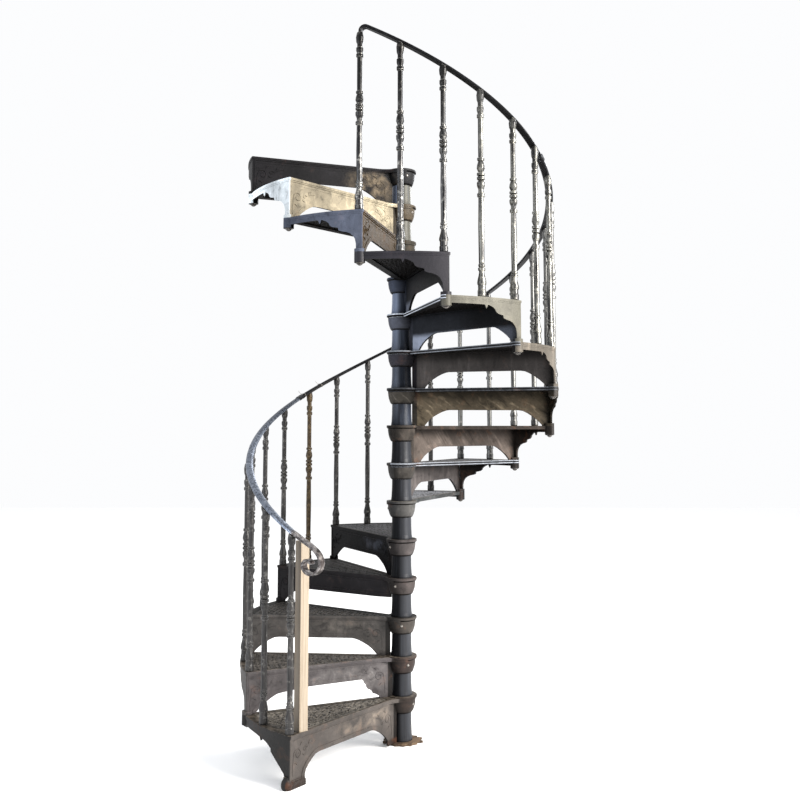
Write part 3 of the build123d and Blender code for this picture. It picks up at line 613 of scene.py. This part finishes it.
def fretwork_mesh():
    data = bpy.data.curves.new("fretwork", "CURVE")
    data.dimensions = "2D"
    data.fill_mode = "BOTH"
    data.extrude = (PANEL_TOP - PANEL_LOW) / 2
    for pts in [panel_outline()] + HOLES:
        spline = data.splines.new("POLY")
        spline.points.add(len(pts) - 1)
        for p, (x, y) in zip(spline.points, pts):
            p.co = (x, y, 0, 1)
        spline.use_cyclic_u = True
    ob = bpy.data.objects.new("fretwork", data)
    scene.collection.objects.link(ob)
    bpy.context.view_layer.update()
    made = bpy.data.meshes.new_from_object(ob.evaluated_get(bpy.context.evaluated_depsgraph_get()))
    bpy.data.objects.remove(ob)
    bm = bmesh.new()
    bm.from_mesh(made)
    bmesh.ops.remove_doubles(bm, verts=bm.verts, dist=1e-6)
    bmesh.ops.translate(bm, verts=bm.verts, vec=(0, 0, (PANEL_TOP + PANEL_LOW) / 2))
    # raised buds on the stems between the leaves
    for x, y, size, d in BUDS:
        ring = []
        for i in range(6):
            t = 2 * math.pi * i / 6
            px, py = 1.5 * size * math.cos(t), size * math.sin(t)
            ring.append(bm.verts.new((x + px * math.cos(d) - py * math.sin(d), y + px * math.sin(d) + py * math.cos(d), PANEL_TOP - 0.0006)))
        tip = bm.verts.new((x, y, PANEL_TOP + 0.0013))
        for i in range(6):
            bm.faces.new((ring[i], ring[(i + 1) % 6], tip))
    bm.normal_update()
    bm.to_mesh(made)
    bm.free()
    made.materials.clear()
    return made


base_panel = fretwork_mesh()
TREAD_LOOK = {}
TREAD_TONE = {1: (98, 93, 86), 2: (74, 70, 66), 3: (47, 45, 44), 4: (56, 55, 55), 5: (78, 78, 82), 6: (138, 139, 144), 13: (92, 88, 82),
              14: (104, 98, 88), 15: (96, 90, 82)}
for n in range(1, STEPS + 1):
    tone = TREAD_TONE.get(n, (84, 82, 82))
    look = (lin(*tone), tuple(c * 0.16 for c in lin(*tone)), 0.8)
    if look not in TREAD_LOOK:
        TREAD_LOOK[look] = tread_iron(n, *look)
    made = base_panel.copy()
    made.transform(local(n))
    made.materials.append(TREAD_LOOK[look])
    ob = bpy.data.objects.new(f"pierced_tread_{n:02d}", made)
    scene.collection.objects.link(ob)
    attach(ob, "root")
    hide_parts(f"tread_{n:02d}")
bpy.data.meshes.remove(base_panel)


# ---------------------------------------------------------------- bolts, set screws, rail clamps
def prism_rings(bm, rings, frame_m, closed=True):
    """rings: lists of (x, y, z) of the same length, joined in turn and capped."""
    made = [[bm.verts.new(frame_m @ Vector(p)) for p in ring] for ring in rings]
    for lower, upper in zip(made, made[1:]):
        for i in range(len(lower)):
            j = (i + 1) % len(lower)
            bm.faces.new((lower[i], lower[j], upper[j], upper[i]))
    if closed:
        bm.faces.new(list(reversed(made[0])))
        bm.faces.new(made[-1])


def ring_pts(radius, z, count, turn=0.0):
    return [(radius * math.cos(2 * math.pi * i / count + turn), radius * math.sin(2 * math.pi * i / count + turn), z) for i in range(count)]


def add_piece(name, bm, material, smooth=False):
    bmesh.ops.recalc_face_normals(bm, faces=bm.faces)
    made = bpy.data.meshes.new(name)
    bm.to_mesh(made)
    bm.free()
    made.materials.append(material)
    if smooth:
        for p in made.polygons:
            p.use_smooth = True
    ob = bpy.data.objects.new(name, made)
    scene.collection.objects.link(ob)
    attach(ob, "root")
    return ob


bolt_iron = turned_metal("bolt_iron", lin(60, 56, 54), lin(150, 146, 140), lin(30, 28, 28), 0.6, 0.5, 0.42)
screw_bright = turned_metal("screw_bright", lin(104, 100, 96), lin(196, 192, 186), lin(80, 74, 68), 0.3, 0.6, 0.28)

bm = bmesh.new()
for n in range(1, STEPS):
    x, y = polar(0.838, -math.radians(TURN))
    at = local(n) @ Matrix.Translation((x, y, -0.050)) @ Matrix.Rotation(0.35 * n, 4, "Z")
    washer = [ring_pts(0.0210, 0.0004, 24), ring_pts(0.0215, -0.0006, 24), ring_pts(0.0215, -0.0022, 24), ring_pts(0.0204, -0.0030, 24)]
    prism_rings(bm, washer, at)
    nut = [ring_pts(0.0138, -0.0026, 6), ring_pts(0.0148, -0.0038, 6), ring_pts(0.0148, -0.0078, 6), ring_pts(0.0128, -0.0094, 6)]
    prism_rings(bm, nut, at)
    dome = [ring_pts(0.0092, -0.0090, 16), ring_pts(0.0086, -0.0112, 16), ring_pts(0.0062, -0.0130, 16), ring_pts(0.0026, -0.0138, 16)]
    prism_rings(bm, dome, at)
add_piece("foot_bolts", bm, bolt_iron)

bm = bmesh.new()
for n in range(1, STEPS + 1):
    x, y = polar(0.0728, math.radians(94.3))
    turn = Matrix.Rotation(math.radians(94.3 + ang(n)), 4, "Z") @ Matrix.Translation((0.0712, 0, top(n) - 0.038)) @ Matrix.Rotation(math.radians(90), 4, "Y")
    head = [ring_pts(0.0068, 0.0, 14), ring_pts(0.0070, 0.0028, 14), ring_pts(0.0062, 0.0044, 14), ring_pts(0.0036, 0.0056, 14)]
    prism_rings(bm, head, turn)
    slot_pts = [[(-0.0010, -0.0048, 0.0050), (0.0010, -0.0048, 0.0050), (0.0010, 0.0048, 0.0050), (-0.0010, 0.0048, 0.0050)],
                [(-0.0007, -0.0030, 0.0062), (0.0007, -0.0030, 0.0062), (0.0007, 0.0030, 0.0062), (-0.0007, 0.0030, 0.0062)]]
    prism_rings(bm, slot_pts, turn)
add_piece("collar_set_screws", bm, screw_bright)


def rail_frame(turned):
    """On the rail's centre line: x uphill, y outwards, z square to the rail."""
    a = math.radians(START - turned)
    slope = math.atan2(RISE / math.radians(TURN), RAIL_R)
    p = Vector((RAIL_R * math.cos(a), RAIL_R * math.sin(a), FIRST_TOP + RAIL_C + RISE * turned / TURN))
    flat = Vector((math.sin(a), -math.cos(a), 0))
    uphill = (flat * math.cos(slope) + Vector((0, 0, math.sin(slope)))).normalized()
    out = Vector((math.cos(a), math.sin(a), 0))
    square = uphill.cross(out)
    if square.z < 0:
        square = -square
    m4 = Matrix.Identity(4)
    for i, axis in enumerate((uphill, out, square)):
        m4[0][i], m4[1][i], m4[2][i] = axis
    m4.translation = p
    return m4


def clamp_section(grow, x):
    w, t = 0.020 + grow, 0.009 + grow
    pts = [(-w, -t + 0.004), (-w + 0.005, -t), (w - 0.005, -t), (w, -t + 0.004), (w, t * 0.35), (w - 0.008, t * 0.9), (0, t),
           (-w + 0.008, t * 0.9), (-w, t * 0.35)]
    return [(x, y, z) for y, z in pts]


bm = bmesh.new()
for turned in (92.79, 176.58, 260.37):
    at = rail_frame(turned)
    sections = [clamp_section(0.0004, -0.022), clamp_section(0.0022, -0.019), clamp_section(0.0022, -0.004), clamp_section(0.0012, -0.002),
                clamp_section(0.0012, 0.002), clamp_section(0.0022, 0.004), clamp_section(0.0022, 0.019), clamp_section(0.0004, 0.022)]
    prism_rings(bm, sections, at)
    for x in (-0.011, 0.011):
        head = [ring_pts(0.0044, -0.0108, 12), ring_pts(0.0046, -0.0124, 12), ring_pts(0.0030, -0.0142, 12)]
        prism_rings(bm, head, at @ Matrix.Translation((x, 0, 0)))
add_piece("handrail_splices", bm, rail_black)


# two turns of wire, twisted off, either side of the odd baluster
data = bpy.data.curves.new("wire", "CURVE")
data.dimensions = "3D"
data.bevel_depth = 0.0011
data.bevel_resolution = 2
data.use_fill_caps = True
for turned, lean in ((94.8, 0.0016), (103.6, -0.0014)):
    at = rail_frame(turned)
    loops = []
    for i in range(57):
        t = 2 * math.pi * i / 28
        y = 0.0212 * abs(math.cos(t)) ** 0.45 * math.copysign(1, math.cos(t))
        z = 0.0104 * abs(math.sin(t)) ** 0.55 * math.copysign(1, math.sin(t))
        loops.append((lean * math.sin(t / 2) + 0.0011 * i / 28 - 0.0011, y, z))
    for i in range(15):
        t = 1.5 * i
        loops.append((0.0016 * math.cos(t), 0.0200 + 0.0011 * i, 0.0070 + 0.0016 * i + 0.0014 * math.sin(t)))
    spline = data.splines.new("POLY")
    spline.points.add(len(loops) - 1)
    for point, pt in zip(spline.points, loops):
        point.co = (*(at @ Vector(pt)), 1)
ob = bpy.data.objects.new("wire", data)
scene.collection.objects.link(ob)
bpy.context.view_layer.update()
made = bpy.data.meshes.new_from_object(ob.evaluated_get(bpy.context.evaluated_depsgraph_get()))
bpy.data.objects.remove(ob)
made.materials.clear()
made.materials.append(screw_bright)
for p in made.polygons:
    p.use_smooth = True
ob = bpy.data.objects.new("wire_ties", made)
scene.collection.objects.link(ob)
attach(ob, "root")

# ---------------------------------------------------------------- cast scrollwork in the corners of the risers
def spiral(cx, cz, r0, r1, start, sweep, count=20):
    pts = []
    for i in range(count + 1):
        k = i / count
        t = math.radians(start + sweep * k)
        r = r0 + (r1 - r0) * k ** 0.8
        pts.append((cx + r * math.cos(t), cz + r * math.sin(t)))
    return pts


def ornament():
    """Lines (points, thickness at each) of one corner, in mm: radius and height below the tread."""
    stem = [(103, -182), (102, -160), (104, -136), (107, -112)] + spiral(136, -92, 27, 5, 180, -560, 30)
    arm = [(252, -60), (232, -62), (212, -68), (196, -76)] + spiral(183, -80, 13, 3, 15, 470, 18)
    lines = [(stem, 1.0), (arm, 0.8)]
    for p0, p1, bend in (((150, -60), (176, -44), 5), ((166, -96), (190, -104), -5), ((112, -128), (134, -142), 5), ((206, -66), (226, -46), 4)):
        leaf_pts = []
        for i in range(7):
            k = i / 6
            nx, ny = -(p1[1] - p0[1]), p1[0] - p0[0]
            long = math.hypot(nx, ny)
            off = bend * math.sin(math.pi * k)
            leaf_pts.append((p0[0] + (p1[0] - p0[0]) * k + nx / long * off, p0[1] + (p1[1] - p0[1]) * k + ny / long * off))
        lines.append((leaf_pts, "leaf"))
    return lines


def scroll_mesh(inner):
    data = bpy.data.curves.new("scrollwork", "CURVE")
    data.dimensions = "3D"
    data.bevel_depth = 0.0019
    data.bevel_resolution = 1
    data.use_fill_caps = True
    for mirrored in ((False, True) if inner else (True,)):
        for pts, kind in ornament():
            spline = data.splines.new("POLY")
            spline.points.add(len(pts) - 1)
            last = len(pts) - 1
            for i, (x, z) in enumerate(pts):
                spline.points[i].co = ((930 - x if mirrored else x) / 1000, 0.0143, z / 1000, 1)
                if kind == "leaf":
                    spline.points[i].radius = (0.3, 1.0, 1.5, 1.6, 1.3, 0.8, 0.2)[i]
                else:
                    spline.points[i].radius = kind * (0.45 + 0.75 * math.sin(math.pi * min(0.12 + i / last, 1.0)) ** 0.7)
    ob = bpy.data.objects.new("scrollwork", data)
    scene.collection.objects.link(ob)
    bpy.context.view_layer.update()
    made = bpy.data.meshes.new_from_object(ob.evaluated_get(bpy.context.evaluated_depsgraph_get()))
    bpy.data.objects.remove(ob)
    made.materials.clear()
    for p in made.polygons:
        p.use_smooth = True
    return made


for n in range(1, STEPS + 1):
    made = scroll_mesh(n != 4)
    made.transform(local(n))
    made.materials.append(CAST[n])
    ob = bpy.data.objects.new(f"riser_scrollwork_{n:02d}", made)
    scene.collection.objects.link(ob)
    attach(ob, "root")
